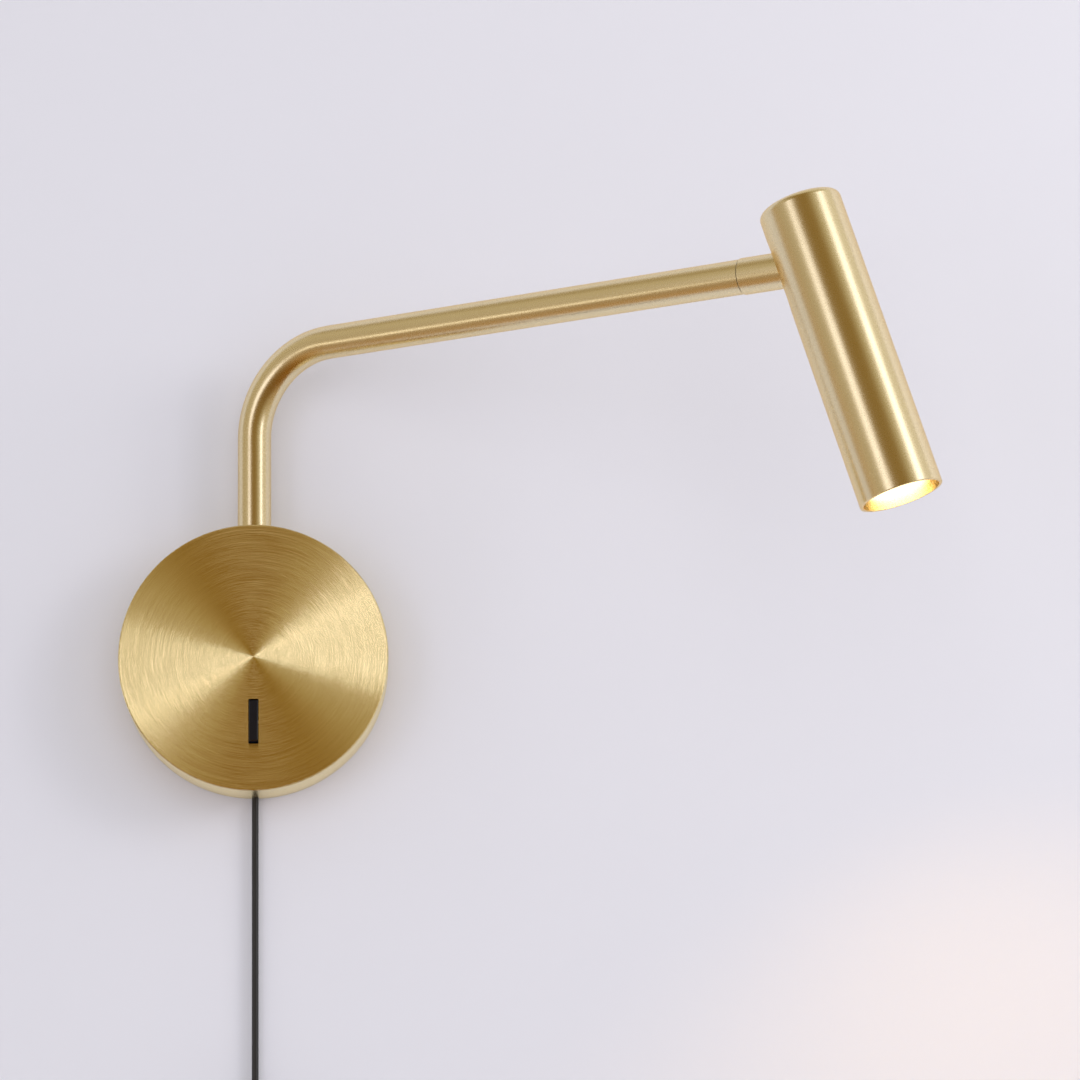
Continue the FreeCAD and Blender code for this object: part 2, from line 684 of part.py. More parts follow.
def add_head():
    add("head_shell", head_shell(), head_frame)
    add("yoke", yoke(), head_frame)
    length = tilt_head_seat + tilt_nut_seat + tilt_nut_height - 2 * slip
    add("tilt_screw", screw((0, tilt_head_seat, 0), -Y, tilt_pin_dia, length, tilt_head_dia,
                            tilt_head_height), head_frame)
    add("tilt_nut", nut(tilt_nut_flats, tilt_pin_dia + 2 * fit, (0, -tilt_nut_seat, 0), -Y,
                        tilt_nut_height), head_frame)
    washer = knuckle_thick / 2 + fit
    washers = [ring(tilt_washer_dia, tilt_pin_dia + 2 * fit, (0, side * washer, 0), Y * side,
                    tilt_washer_thick) for side in (-1, 1)]
    add("tilt_washers", group(washers), head_frame)
    sink_top = -yoke_below - sink_flange
    joins = [screw((yoke_screw_x, side * yoke_screw_y, sink_top), Z, yoke_screw_dia,
                   sink_flange + yoke_screw_grip, yoke_screw_head_dia, yoke_screw_head) for side in (-1, 1)]
    add("yoke_screws", group(joins), head_frame)
    add("heat_sink", heat_sink(), head_frame)
    board = rod(board_dia, (0, 0, board_face), Z, board_thick)
    for side in (-1, 1):
        board = board.cut(rod(board_hole, (side * board_screw_x, 0, board_face), Z, board_thick))
    add("led_board", board, head_frame)
    add("led_chip", rod(chip_dia, (0, 0, board_face - chip_thick), Z, chip_thick), head_frame)
    pins = [screw((side * board_screw_x, 0, board_face), Z, board_screw_dia,
                  board_thick + sink_flange - fin_end, board_screw_head_dia, board_screw_head)
            for side in (-1, 1)]
    add("board_screws", group(pins), head_frame)
    add("head_lead", rod(lead_dia, (0, 0, -sink_bottom), Z, sink_bottom - head_lead_top), head_frame)


def add_lens():
    seat = lens_face + lens_rim + fit
    inner = lens_dia + 2 * lens_play
    holder = rod(2 * (plug_r - slip), (0, 0, lens_face), Z, -sink_bottom - lens_face)
    holder = holder.cut(rod(inner, (0, 0, lens_face), Z, lens_rim + fit))
    holder = holder.cut(rod(inner - 2 * holder_ledge, (0, 0, seat), Z, -sink_bottom - seat))
    add("lens_holder", holder, head_frame)
    foot = lens_face + lens_height
    cone_top = lens_face + lens_rim
    lens = rod(lens_dia, (0, 0, lens_face), Z, lens_rim)
    lens = lens.fuse(Part.makeCone(lens_dia / 2 - lens_step, lens_foot / 2, foot - cone_top,
                                   Vector(0, 0, cone_top), Z))
    well = Part.makeCone(lens_well_top / 2, lens_foot / 2 - lens_well_wall, lens_well,
                         Vector(0, 0, foot - lens_well), Z)
    add("tir_lens", lens.cut(well).removeSplitter(), head_frame)
    add("lens_ring", ring(2 * plug_r, 2 * (plug_r - ring_width), (0, 0, lens_face - fit - ring_thick), Z,
                          ring_thick), head_frame)


# ---- rocker switch ----
pivot_y = -drum_depth + rocker_pivot_depth
pivot = (0, pivot_y, -rocker_below)
terminal_y = inside_y + fit + housing_depth


def add_switch():
    half = rocker_width / 2
    body = rod(2 * rocker_radius, (-half, 0, 0), X, rocker_width)
    front = -(rocker_pivot_depth + rocker_proud)
    tip = front - rocker_dish
    far = rocker_radius + over
    back = rocker_back
    outline = [Vector(-half, front, 0), Vector(-half, tip, far), Vector(-half, back, far),
               Vector(-half, back, -far), Vector(-half, tip, -far), Vector(-half, front, 0)]
    profile = Part.Face(Part.makePolygon(outline)).extrude(X * rocker_width)
    body = body.common(profile)

    def front_side(edge):
        box = edge.BoundBox
        return box.YMax < -rocker_pivot_depth / 2 and box.XLength < 0.01 and box.ZLength > 1
    body = fillet_where(body, rocker_round, front_side)
    pin_hole = rocker_pin_dia + 2 * fit
    body = body.cut(rod(pin_hole, (-half, 0, 0), X, rocker_width))
    add("rocker", turned(body, X, -rocker_swing), Placement(Vector(*pivot), Rotation()))
    pin_start = (-housing_width / 2 + rocker_pin_inset, pivot_y, -rocker_below)
    pin_length = housing_width - 2 * rocker_pin_inset
    add("rocker_pin", rod(rocker_pin_dia, pin_start, X, pin_length))
    back = inside_y + fit
    z0 = -rocker_below - housing_height / 2
    z1 = -rocker_below + housing_height / 2
    housing = block(-housing_width / 2, housing_width / 2, back, back + housing_depth, z0, z1)
    ear_y = inside_y + boss_height
    ear = block(-ear_span / 2, ear_span / 2, ear_y, ear_y + ear_thick, -rocker_below - ear_height / 2,
                -rocker_below + ear_height / 2)
    housing = housing.fuse(ear)
    room = half + rocker_gap
    tall = rocker_radius + pocket_gap
    housing = housing.cut(block(-room, room, back, pivot_y + pocket_depth, -rocker_below - tall,
                                -rocker_below + tall))
    housing = housing.cut(rod(pin_hole, pin_start, X, pin_length))
    tab = terminal_width / 2
    screws = []
    terminals = []
    for side in (-1, 1):
        housing = housing.cut(rod(ear_hole, (side * boss_x, ear_y, -rocker_below), Y, ear_thick))
        screws.append(screw((side * boss_x, ear_y + ear_thick, -rocker_below), -Y, ear_screw_dia,
                            ear_screw_length, ear_screw_head_dia, ear_screw_head))
        z = -rocker_below + side * terminal_spacing / 2
        terminals.append(block(-tab, tab, terminal_y, terminal_y + terminal_length, z - terminal_thick / 2,
                               z + terminal_thick / 2))
    add("switch_housing", housing.removeSplitter())
    add("switch_screws", group(screws))
    add("switch_terminals", group(terminals))


# ---- driver, terminal block and wires in the drum ----
driver_back = inside_y + driver_depth
wire_y = driver_back - driver_wire_from_back
wire_x = driver_width / 2 - driver_wire_inset
pcb_y = inside_y + driver_wall + driver_floor


def add_driver():
    w, z0 = driver_width / 2, driver_above
    z1 = z0 + driver_height
    t = driver_wall
    case = block(-w, w, inside_y, driver_back, z0, z1)
    case = case.cut(block(-w + driver_ledge, w - driver_ledge, inside_y + t, pcb_y, z0 + driver_ledge_low,
                          z1 - driver_ledge_low))
    case = case.cut(block(-w + t, w - t, pcb_y, driver_back, z0 + t, z1 - t))
    for side in (-1, 1):
        start = z0 - over if side < 0 else z1 - 2 * t
        case = case.cut(rod(wire_dia + wire_hole_room, (side * wire_x, wire_y, start), Z, 2 * t + over))
    add("driver_case", case)
    add("driver_lid", block(-w, w, driver_back, driver_back + t, z0, z1))
    add("driver_board", block(-w + t + slip, w - t - slip, pcb_y, pcb_y + pcb_thick, z0 + t + slip,
                              z1 - t - slip))
    face = pcb_y + pcb_thick
    mid = (z0 + z1) / 2
    parts = [rod(dia, (x, face, mid), Y, height) for x, dia, height in capacitors]
    parts += [block(x - wide / 2, x + wide / 2, face, face + height, mid - tall / 2, mid + tall / 2)
              for x, wide, tall, height in chips]
    add("driver_parts", group(parts))


block_foot = -(inner_r - block_above_rim)
block_y = inside_y + post_length


def add_wiring():
    half = block_width / 2
    top = block_foot + block_height
    body = block(-half, half, block_y, block_y + block_depth, block_foot, top)
    back = block_y + block_depth
    hole = rod(block_bore, (0, block_y, post_z), Y, block_depth)
    body = body.cut(hole).cut(rod(block_recess_dia, (0, back - block_recess, post_z), Y, block_recess))
    screws = []
    for side in (-1, 1):
        x = side * clamp_spacing / 2
        at = (x, back - clamp_sunk, post_z)
        body = body.cut(rod(clamp_dia + 2 * slip, at, Y, clamp_sunk))
        clamp = rod(clamp_dia, at, Y, clamp_height)
        slot_y = back - clamp_sunk + clamp_height - clamp_slot_depth
        slot = block(x - clamp_dia, x + clamp_dia, slot_y, back, post_z - clamp_slot / 2,
                     post_z + clamp_slot / 2)
        screws.append(clamp.cut(slot))
        wire_hole = rod(wire_dia + 2 * slip, (x, block_y + wire_in_block, top - wire_grip), Z, wire_grip)
        body = body.cut(wire_hole)
    add("terminal_block", body)
    add("terminal_screws", group(screws))
    add("block_screw", screw((0, back - block_recess, post_z), -Y, block_screw_dia,
                              block_depth - block_recess + block_screw_past, block_screw_head_dia,
                              block_screw_head))
    wide = grommet_width / 2
    foot, head = -inner_r + grommet_foot, block_foot - grommet_gap
    grommet = block(-wide, wide, -grommet_gap - grommet_depth, -grommet_gap, foot, head)
    add("cord_grommet", grommet.cut(rod(cord_dia + 2 * fit, (0, -cord_from_wall, foot), Z, head - foot)))
    add("drum_wires", group(drum_wires(top)))


def drum_wires(block_top):
    """Block to switch, switch to driver, block to driver, and the pair from driver to riser."""
    clamp_x = clamp_spacing / 2
    clamp_y = block_y + wire_in_block
    tab_x = terminal_width / 2 + slip
    tab_y = terminal_y + terminal_length / 2
    low = -rocker_below - terminal_spacing / 2
    high = -rocker_below + terminal_spacing / 2
    case_foot = driver_above + driver_wall
    case_top = driver_above + driver_height
    beside = housing_width / 2 + wire_turn - wire_dia
    around = driver_width / 2 + wire_turn + wire_dia
    to_switch = [(-clamp_x, clamp_y, block_top - wire_grip), (-clamp_x, clamp_y, block_top + wire_turn),
                 (-clamp_x, tab_y, low), (-tab_x, tab_y, low)]
    from_switch = [(tab_x, tab_y, high), (beside, tab_y, high), (beside, tab_y, high + 2 * wire_turn),
                   (wire_turn - wire_x, wire_y, high + 2.5 * wire_turn),
                   (-wire_x, wire_y, driver_above - 2 * wire_turn), (-wire_x, wire_y, case_foot)]
    to_driver = [(clamp_x, clamp_y, block_top - wire_grip), (clamp_x, clamp_y, block_top + wire_turn),
                 (ear_span / 2 + wire_dia, wire_y, block_top + 2 * wire_turn),
                 (around, wire_y, driver_above - 4 * wire_turn), (around, wire_y, case_top - wire_turn),
                 (around - wire_turn / 2, wire_y, case_top + wire_turn),
                 (wire_x, wire_y, case_top + wire_turn), (wire_x, wire_y, case_top - driver_wall)]
    riser = rod(lead_dia, (0, -riser_from_wall, case_top), Z, lead_foot - run_gap - case_top)
    return [wire_tube(way, wire_dia) for way in (to_switch, from_switch, to_driver)] + [riser]


# ---- cord, coil, tie and plug ----
# Every half turn is a half circle between two points on the coil's level; the centres alternate from one
# side of x = 0 to the other, a quarter of a pitch out, so that neighbouring turns stay a pitch apart.
quarter = coil_pitch / 4
coil_outer = coil_inner + coil_turns * coil_pitch
last_outer = coil_outer + coil_pitch / 2    # the last layer winds half a turn further out


def bend_height(outer):
    """Height over the coil's level at which a cord hanging at x = 0 starts to bend on to a turn."""
    return math.sqrt((outer + quarter + lead_in_radius) ** 2 - (lead_in_radius + quarter) ** 2)


coil_z = -(drum_r + cord_hang) - bend_height(coil_outer)
last_y = -cord_from_wall - (coil_layers - 1) * coil_pitch


def coil_points():
    """Ends of the half turns, all on the coil's level, and the lie of the layers from wall to front."""
    y, side, radius = -cord_from_wall, -1, coil_outer
    points = [Vector(-coil_outer, y, coil_z)]
    for layer in range(coil_layers):
        last = layer == coil_layers - 1
        for _ in range(2 * coil_turns + last):
            radius += coil_pitch / 2 if layer % 2 else -coil_pitch / 2
            side = -side
            points.append(Vector(side * radius, y, coil_z))
        if not last:
            y -= coil_pitch
            side = -side
            points.append(Vector(side * radius, y, coil_z))
    return points


def cord_bend(outer, y, up):
    """Points from the hanging cord at x = 0 to the outermost point of a turn: start, mid, touch, mid."""
    high = bend_height(outer)
    turn = math.atan2(high, lead_in_radius + quarter)
    radius = outer + quarter

    def on_bend(angle):
        return Vector(-lead_in_radius + lead_in_radius * math.cos(angle), y,
                      coil_z + up * (high - lead_in_radius * math.sin(angle)))

    def on_turn(angle):
        return Vector(quarter - radius * math.cos(angle), y, coil_z + up * radius * math.sin(angle))
    return on_bend(0), on_bend(turn / 2), on_turn(turn), on_turn(turn / 2)


def coil_wire():
    """Straight end, bend on to the outer turn, the half turns, bend off again and straight end."""
    points = coil_points()
    top, bend_mid, touch, turn_mid = cord_bend(coil_outer, points[0].y, 1)
    edges = [Part.LineSegment(top + Z * cord_dia, top).toShape(), Part.Arc(top, bend_mid, touch).toShape(),
             Part.Arc(touch, turn_mid, points[0]).toShape()]
    way = -1
    for start, end in zip(points, points[1:]):
        middle = (start + end) / 2 + Z * way * (end - start).Length / 2
        edges.append(Part.Arc(start, middle, end).toShape())
        way = -way
    foot, bend_mid, touch, turn_mid = cord_bend(last_outer, points[-1].y, -1)
    edges += [Part.Arc(points[-1], turn_mid, touch).toShape(), Part.Arc(touch, bend_mid, foot).toShape(),
              Part.LineSegment(foot, foot - Z * coil_tail).toShape()]
    return Part.Wire(edges), foot - Z * coil_tail


def least_gap(wire, dia):
    """Smallest surface gap between stretches of a wire that lie over half a turn apart."""
    step = 1.0
    samples = wire.discretize(Distance=step)
    skip = int(math.pi * coil_inner / step)
    least = min((samples[i] - samples[j]).Length
                for i in range(len(samples)) for j in range(i + skip, len(samples)))
    return least - dia


def add_cord():
    start = block_foot
    end = coil_z + bend_height(coil_outer) + cord_dia
    add("cord", rod(cord_dia, (0, -cord_from_wall, start), -Z, start - end))
    path, foot = coil_wire()
    coil = sweep(path, cord_dia)
    add("cord_coil", coil)
    length = start - end + path.Length
    print("cord length", round(length, 1), "mm, coil gap", round(least_gap(path, cord_dia), 2),
          "mm, volume ratio", round(coil.Volume / (math.pi * cord_dia ** 2 / 4 * path.Length), 4),
          "least radius", coil_inner)
    add_tie()
    add_plug(foot)


def add_tie():
    inside = math.sqrt((coil_inner - cord_dia / 2) ** 2 - (tie_width / 2) ** 2) - tie_gap
    outside = coil_outer + cord_dia / 2 + tie_gap
    near = -cord_from_wall + cord_dia / 2 + tie_gap
    far = last_y - cord_dia / 2 - tie_gap
    t = tie_thick
    band = block(inside - t, outside + t, far - t, near + t, coil_z - tie_width / 2, coil_z + tie_width / 2)
    hollow = block(inside, outside, far, near, coil_z - tie_width / 2, coil_z + tie_width / 2)
    band = fillet_where(band, tie_round + t, runs_along(Z))
    add("cord_tie", band.cut(fillet_where(hollow, tie_round, runs_along(Z))))


def add_plug(foot):
    x, y, z = foot
    boot = Part.makeCone(boot_foot_dia / 2, boot_top_dia / 2, boot_length, Vector(x, y, z - boot_length), Z)
    add("plug_boot", boot)
    top = z - boot_length
    body = block(x - plug_width / 2, x + plug_width / 2, y - plug_depth / 2, y + plug_depth / 2,
                 top - plug_height, top)
    body = body.makeFillet(plug_round, body.Edges)
    add("plug_body", body)
    blades = []
    for side in (-1, 1):
        bx = x + side * blade_spacing / 2
        blade = block(bx - blade_thick / 2, bx + blade_thick / 2, y - blade_width / 2, y + blade_width / 2,
                      top - plug_height - blade_length, top - plug_height)
        hole_z = top - plug_height - blade_length + blade_hole_from_tip
        hole = rod(blade_hole, (bx - blade_thick, y, hole_z), X, 2 * blade_thick)
        blades.append(blade.cut(hole))
    add("plug_blades", group(blades))


add("wall_plate", wall_plate())
add("side_screws", side_screws())
add("drum_shell", drum_shell())
add_swivel()
add_arm()
add_joint()
add_head()
add_lens()
add_switch()
add_driver()
add_wiring()
add_cord()

os.makedirs("parts", exist_ok=True)
for name, shape in nodes.items():
    shape.exportStep("parts/" + name + ".step")
print(len(nodes), "nodes")
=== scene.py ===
import json
import math
import bmesh
import bpy
from mathutils import Matrix, Vector


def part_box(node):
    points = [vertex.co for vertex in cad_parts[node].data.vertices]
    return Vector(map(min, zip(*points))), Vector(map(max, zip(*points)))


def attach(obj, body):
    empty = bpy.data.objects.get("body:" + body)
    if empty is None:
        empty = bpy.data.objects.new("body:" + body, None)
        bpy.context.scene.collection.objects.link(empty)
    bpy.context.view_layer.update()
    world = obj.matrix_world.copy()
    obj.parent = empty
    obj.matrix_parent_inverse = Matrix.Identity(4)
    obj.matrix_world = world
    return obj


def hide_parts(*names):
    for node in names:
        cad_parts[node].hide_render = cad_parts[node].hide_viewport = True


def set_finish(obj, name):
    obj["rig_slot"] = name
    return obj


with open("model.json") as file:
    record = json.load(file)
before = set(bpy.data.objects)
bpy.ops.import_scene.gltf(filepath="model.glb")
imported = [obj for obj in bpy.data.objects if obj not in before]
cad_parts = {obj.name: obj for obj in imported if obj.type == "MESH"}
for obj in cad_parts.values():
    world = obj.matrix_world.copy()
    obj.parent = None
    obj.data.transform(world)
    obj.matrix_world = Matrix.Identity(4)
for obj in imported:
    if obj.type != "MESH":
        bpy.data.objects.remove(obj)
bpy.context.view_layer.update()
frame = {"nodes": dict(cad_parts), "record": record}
nodes = frame["nodes"]
scene = bpy.context.scene
scene.view_settings.view_transform = "Standard"
print("frame loaded:", len(nodes), "nodes")

# Camera, at the height and side from which the lamp was photographed
photoCamera = {
    "place": (0.0521, -1.650, -0.2757),
    "yaw": 3.0,  # degrees to the right of straight at the wall
    "pitch": 11.54,  # degrees upwards
    "roll": -0.96,
    "lens": 115.1,  # mm
    "sensor": 36.0,  # mm
}


def addCamera(plan):
    data = bpy.data.cameras.new("photoCamera")
    data.lens = plan["lens"]
    data.sensor_width = plan["sensor"]
    camera = bpy.data.objects.new("photoCamera", data)
    yaw = Matrix.Rotation(math.radians(-plan["yaw"]), 4, "Z")
    pitch = Matrix.Rotation(math.radians(90 + plan["pitch"]), 4, "X")
    roll = Matrix.Rotation(math.radians(plan["roll"]), 4, "Z")
    camera.matrix_world = Matrix.Translation(plan["place"]) @ yaw @ pitch @ roll
    scene.collection.objects.link(camera)
    scene.camera = camera


addCamera(photoCamera)
print("camera placed")


# Cord: it hangs behind the drum's rear edge, and what is spare is wound up under the picture
cordPlan = {
    "thick": 0.0032,
    "fromWall": 0.0029,
    "start": -0.0572,  # at the terminal block
    "exit": -0.064,  # notch in the drum's rear edge
    "hang": 0.144,  # straight stretch under the drum
    "innerRadius": 0.012,
    "turns": 3,  # turns of one layer
    "layers": 4,
    "pitch": 0.0043,  # turn to turn and layer to layer
    "bend": 0.012,  # bend on to the coil
    "tail": 0.006,
    "length": 1.88,
    "halfTurnPoints": 8,
    "bendPoints": 3,
    "joinPoints": 4,  # from the bend to the outermost turn
    "straightEnd": 0.003,  # straight bit beside each bend
    "roundness": 6,
    "fineness": 6,
}


def coilShape(plan):
    quarter = plan["pitch"] / 4
    outer = plan["innerRadius"] + plan["turns"] * plan["pitch"]
    rise = math.sqrt((outer + quarter + plan["bend"]) ** 2 - (plan["bend"] + quarter) ** 2)
    return quarter, outer, plan["exit"] - plan["hang"] - rise


def arcPoints(centre, fromDegrees, toDegrees, radius, count, y):
    # control points of a spline that follows an arc in the plane of the wall
    step = (toDegrees - fromDegrees) / count
    reach = radius / math.cos(math.radians(step / 2))
    points = []
    for i in range(count):
        turn = math.radians(fromDegrees + step * (i + 0.5))
        points.append(Vector((centre[0] + reach * math.cos(turn), y, centre[1] + reach * math.sin(turn))))
    return points


def bendPoints(plan, outer, y, up):
    # from the hanging cord to the outermost point of a turn
    quarter, _, level = coilShape(plan)
    side = plan["bend"] + quarter
    high = math.sqrt((outer + quarter + plan["bend"]) ** 2 - side**2)
    turn = math.degrees(math.atan2(high, side))
    straight = Vector((0, y, level + up * (high + plan["straightEnd"])))
    bend = arcPoints((-plan["bend"], level + up * high), 0, -up * turn, plan["bend"], plan["bendPoints"], y)
    join = arcPoints((quarter, level), 180 - up * turn, 180, outer + quarter, plan["joinPoints"], y)
    return [straight] + bend + join


def halfTurn(start, end, way, count):
    middle = (start + end) / 2
    radius = (end - start).length / 2
    reach = 1 / math.cos(math.pi / count / 2)
    points = []
    for i in range(count):
        turn = math.pi * (i + 0.5) / count
        across = (start - middle) * math.cos(turn)
        upwards = Vector((0, 0, way * radius * math.sin(turn)))
        points.append(middle + reach * (across + upwards))
    return points


def cordRoute(plan):
    _, outer, level = coilShape(plan)
    y = -plan["fromWall"]
    route = [Vector((0, y, plan["start"]))] + bendPoints(plan, outer, y, 1)
    here, side, radius, way = Vector((-outer, y, level)), -1, outer, -1
    for layer in range(plan["layers"]):
        last = layer == plan["layers"] - 1
        grow = plan["pitch"] / 2 * (1 if layer % 2 else -1)
        for half in range(2 * plan["turns"] + 1):
            climbs = half == 2 * plan["turns"] and not last
            if climbs:
                y -= plan["pitch"]
            else:
                radius += grow
            side = -side
            there = Vector((side * radius, y, level))
            route += halfTurn(here, there, way, plan["halfTurnPoints"])
            here, way = there, -way
    ending = bendPoints(plan, outer + plan["pitch"] / 2, y, -1)[::-1]
    foot = ending[-1].copy()
    foot.z += plan["straightEnd"] - plan["tail"]
    return route + ending[:-1] + [foot]


def addCord(plan):
    data = bpy.data.curves.new("powerCord", "CURVE")
    data.dimensions = "3D"
    data.bevel_depth = 1.0  # each point's radius gives the thickness
    data.bevel_resolution = plan["roundness"]
    data.resolution_u = plan["fineness"]
    data.use_fill_caps = True
    route = cordRoute(plan)
    spline = data.splines.new("NURBS")
    spline.points.add(len(route) - 1)
    for point, at in zip(spline.points, route):
        point.co = (*at, 1)
        point.radius = plan["thick"] / 2
    spline.order_u = 3
    spline.use_endpoint_u = True
    cord = bpy.data.objects.new("powerCord", data)
    scene.collection.objects.link(cord)
    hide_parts("cord", "cord_coil")
    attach(cord, "drum")
    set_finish(cord, "cord_skin")
    return cord, route[-1]


powerCord, cordFoot = addCord(cordPlan)
print("cord wound")


# Mesh helpers
def makeMesh(name, vertices, faces, body, slot, replaced=(), smooth=True):
    data = bpy.data.meshes.new(name)
    data.from_pydata([tuple(v) for v in vertices], [], faces)
    data.validate()
    tool = bmesh.new()
    tool.from_mesh(data)
    bmesh.ops.recalc_face_normals(tool, faces=tool.faces)
    tool.to_mesh(data)
    tool.free()
    for face in data.polygons:
        face.use_smooth = smooth
    piece = bpy.data.objects.new(name, data)
    scene.collection.objects.link(piece)
    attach(piece, body)
    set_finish(piece, slot)
    if replaced:
        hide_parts(*replaced)
    return piece


def latheMesh(profile, centre, segments):
    # profile: (radius, height) pairs turned about the vertical through centre
    vertices, faces = [], []
    for radius, height in profile:
        for i in range(segments):
            turn = 2 * math.pi * i / segments
            x = centre[0] + radius * math.cos(turn)
            y = centre[1] + radius * math.sin(turn)
            vertices.append((x, y, height))
    for row in range(len(profile) - 1):
        for i in range(segments):
            a, b = row * segments + i, row * segments + (i + 1) % segments
            faces.append((a, b, b + segments, a + segments))
    faces.append(tuple(range(segments))[::-1])
    faces.append(tuple(range((len(profile) - 1) * segments, len(profile) * segments)))
    return vertices, faces


def softenEdges(piece, width, steps):
    bevel = piece.modifiers.new("softEdge", "BEVEL")
    bevel.width = width
    bevel.segments = steps


# Strain relief on the plug, with grooves that let it bend
bootPlan = {
    "top": 0.0027,  # radius
    "foot": 0.0042,  # radius
    "length": 0.020,
    "edge": 0.0005,  # height of the slope at the upper end
    "edgeIn": 0.0006,
    "plainTop": 0.002,  # above the first groove
    "plainEnds": 0.006,  # without grooves, both ends together
    "grooves": 6,
    "groove": 0.0007,
    "ring": ((0, 0), (0, 0.45), (1, 0.55), (1, 0.9), (0, 1.0)),  # depth, and share of the pitch
    "segments": 40,
}


def addBoot(plan, top):
    profile = [(plan["top"] - plan["edgeIn"], top.z), (plan["top"], top.z - plan["edge"])]
    pitch = (plan["length"] - plan["plainEnds"]) / plan["grooves"]
    z = top.z - plan["plainTop"]
    for i in range(plan["grooves"]):
        for depth, share in plan["ring"]:
            height = z - (i + share) * pitch
            along = (top.z - height) / plan["length"]
            wide = plan["top"] + (plan["foot"] - plan["top"]) * along
            profile.append((wide - depth * plan["groove"], height))
    profile.append((plan["foot"], top.z - plan["length"]))
    vertices, faces = latheMesh(profile, top, plan["segments"])
    return makeMesh("plugBoot", vertices, faces, "drum", "black_plastic", ["plug_boot"])


# Strap that holds the spare cord together, its end lapped over on the front
tiePlan = {
    "width": 0.007,
    "thick": 0.0008,
    "corner": 0.0016,
    "cornerSteps": 6,
    "softEdge": 0.00025,
    "softSteps": 2,
    "lap": 0.012,
    "endNarrower": 0.0003,  # on either side
    "endLift": 0.00005,
    "endSoftEdge": 0.0002,
    "tipSteps": 8,
}


def addTie(plan):
    low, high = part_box("cord_tie")
    half = plan["width"] / 2
    level = (low.z + high.z) / 2
    inset = plan["thick"] / 2
    left, right = low.x + inset, high.x - inset
    front, back = low.y + inset, high.y - inset
    corner = plan["corner"]
    path = []
    corners = ((right, back, 0), (left, back, 90), (left, front, 180), (right, front, 270))
    for x, y, begin in corners:
        centreX = x - corner if x == right else x + corner
        centreY = y - corner if y == back else y + corner
        for step in range(plan["cornerSteps"] + 1):
            turn = math.radians(begin + 90 / plan["cornerSteps"] * step)
            path.append((centreX + corner * math.cos(turn), centreY + corner * math.sin(turn)))
    vertices, faces = [], []
    count = len(path)
    for i, (x, y) in enumerate(path):
        px, py = path[i - 1]
        nx, ny = path[(i + 1) % count]
        along = Vector((nx - px, ny - py)).normalized()
        out = Vector((along.y, -along.x))
        for side, rise in ((-1, -1), (-1, 1), (1, 1), (1, -1)):
            vertices.append((x + out.x * side * inset, y + out.y * side * inset, level + rise * half))
    for i in range(count):
        a, b = 4 * i, 4 * ((i + 1) % count)
        for k in range(4):
            faces.append((a + k, a + (k + 1) % 4, b + (k + 1) % 4, b + k))
    band = makeMesh("tieStrap", vertices, faces, "drum", "black_plastic", ["cord_tie"], smooth=False)
    softenEdges(band, plan["softEdge"], plan["softSteps"])
    return band, addTieEnd(plan, (left + right) / 2, low.y, level)


def addTieEnd(plan, x, y, level):
    # the lapped end is a thin tongue with a rounded tip
    half, reach, thick = plan["width"] / 2 - plan["endNarrower"], plan["lap"] / 2, plan["thick"]
    outline = [(x - reach, level - half), (x - reach, level + half)]
    for step in range(plan["tipSteps"] + 1):
        turn = math.radians(90 - 180 / plan["tipSteps"] * step)
        outline.append((x + reach - half + half * math.cos(turn), level + half * math.sin(turn)))
    count = len(outline)
    vertices = [(px, y - depth, pz) for depth in (plan["endLift"], thick) for px, pz in outline]
    faces = [tuple(range(count)), tuple(range(count, 2 * count))[::-1]]
    faces += [(i, (i + 1) % count, (i + 1) % count + count, i + count) for i in range(count)]
    end = makeMesh("tieEnd", vertices, faces, "drum", "black_plastic", smooth=False)
    softenEdges(end, plan["endSoftEdge"], plan["softSteps"])
    return end


plugBoot = addBoot(bootPlan, cordFoot)
tieStrap, tieEnd = addTie(tiePlan)
print("cord pieces made")


# Materials: node helpers
def addNode(tree, kind, inputs=None, **settings):
    node = tree.nodes.new(kind)
    for name, value in settings.items():
        setattr(node, name, value)
    for name, value in (inputs or {}).items():
        node.inputs[name].default_value = value
    return node


def link(tree, source, target):
    tree.links.new(source, target)


def onObject(tree):
    return addNode(tree, "ShaderNodeTexCoord").outputs["Object"]


def calculate(tree, operation, first, second=None):
    node = addNode(tree, "ShaderNodeMath", operation=operation)
    for socket, value in zip(node.inputs, (first, second)):
        if value is None:
            continue
        if isinstance(value, (int, float)):
            socket.default_value = value
        else:
            link(tree, value, socket)
    return node.outputs[0]


def scaleAndAdd(tree, value, factor, offset):
    return calculate(tree, "ADD", calculate(tree, "MULTIPLY", value, factor), offset)


def calculateVector(tree, operation, first, second):
    node = addNode(tree, "ShaderNodeVectorMath", operation=operation)
    link(tree, first, node.inputs[0])
    link(tree, second, node.inputs["Scale"] if operation == "SCALE" else node.inputs[1])
    return node.outputs[0]


def mixColours(tree, factor, first, second, blend="MIX"):
    node = addNode(tree, "ShaderNodeMix", data_type="RGBA", blend_type=blend)
    for index, value in ((0, factor), (6, first), (7, second)):  # sockets of the colour form
        if isinstance(value, (int, float, tuple, list)):
            node.inputs[index].default_value = value
        else:
            link(tree, value, node.inputs[index])
    return node.outputs[2]


def newMaterial(name, base, **settings):
    material = bpy.data.materials.new(name)
    material.use_nodes = True
    shader = material.node_tree.nodes["Principled BSDF"]
    shader.inputs["Base Color"].default_value = (*base, 1)
    for key, value in settings.items():
        shader.inputs[key].default_value = value
    return material, material.node_tree, shader


